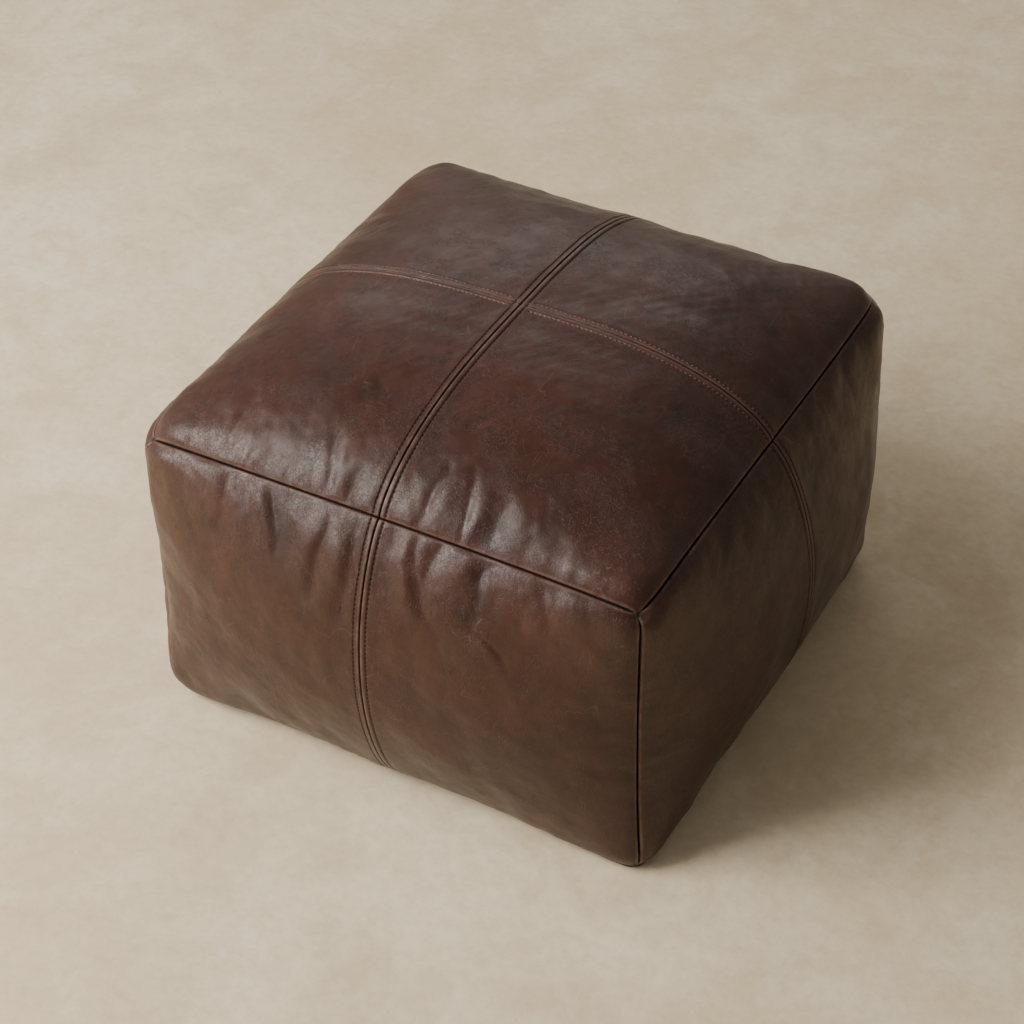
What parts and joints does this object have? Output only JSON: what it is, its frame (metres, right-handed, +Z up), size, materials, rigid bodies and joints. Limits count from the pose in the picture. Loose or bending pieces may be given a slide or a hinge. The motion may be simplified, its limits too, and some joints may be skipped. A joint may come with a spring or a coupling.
{
  "type": "square leather pouf",
  "caption": "Square stuffed floor pouf of panelled leather, with topstitched cross seams, a domed top, bulging sides and a zip in its underside.",
  "frame": {"origin": "middle of the underside, on the floor", "axes": "+Z up; X and Y along the square's sides, -Y towards the front, the zip along X and its closed end towards -X"},
  "size_m": [0.6056, 0.6056, 0.382],
  "materials": {
    "leather": "waxed pull-up leather, dark chocolate brown with reddish patches, semi-gloss",
    "thread": "waxed polyester thread, reddish tan",
    "zip_tape": "woven dark brown tape",
    "zip_coil": "dark brown nylon coil",
    "zip_metal": "antique brass, dulled",
    "bag_cloth": "plain unbleached cotton",
    "filling": "packed cotton and fibre"
  },
  "bodies": {
    "pouf": {"back_panel_left": "leather", "back_panel_right": "leather", "bottom_panel_back": "leather", "bottom_panel_front": "leather", "filling": "filling", "front_panel_left": "leather", "front_panel_right": "leather", "inner_bag": "bag_cloth", "left_panel_back": "leather", "left_panel_front": "leather", "right_panel_back": "leather", "right_panel_front": "leather", "stitching_back_left": "thread", "stitching_back_right": "thread", "stitching_front_left": "thread", "stitching_front_right": "thread", "stitching_left_back": "thread", "stitching_left_front": "thread", "stitching_right_back": "thread", "stitching_right_front": "thread", "stitching_top_left_back": "thread", "stitching_top_left_front": "thread", "stitching_top_long_left": "thread", "stitching_top_long_right": "thread", "stitching_top_right_back": "thread", "stitching_top_right_front": "thread", "stitching_zip_back": "thread", "stitching_zip_front": "thread", "top_panel_back_left": "leather", "top_panel_back_right": "leather", "top_panel_front_left": "leather", "top_panel_front_right": "leather", "zip_bottom_stop": "zip_metal", "zip_coil_back": "zip_coil", "zip_coil_front": "zip_coil", "zip_tape_back": "zip_tape", "zip_tape_front": "zip_tape", "zip_top_stop_back": "zip_metal", "zip_top_stop_front": "zip_metal"},
    "zip_slider": {"zip_slider": "zip_metal"},
    "zip_pull": {"zip_pull": "zip_metal"}
  },
  "joints": [
    {"name": "zip_slide", "type": "slide", "parent": "pouf", "child": "zip_slider", "axis": [1, 0, 0], "range_m": [0, 0.378], "deforming": ["zip_coil_front", "zip_coil_back"]},
    {"name": "zip_pull_swing", "type": "hinge", "parent": "zip_slider", "child": "zip_pull", "pos_m": [-0.194, 0, 0.0036], "axis": [0, 1, 0], "range_deg": [-10, 167]}
  ]
}
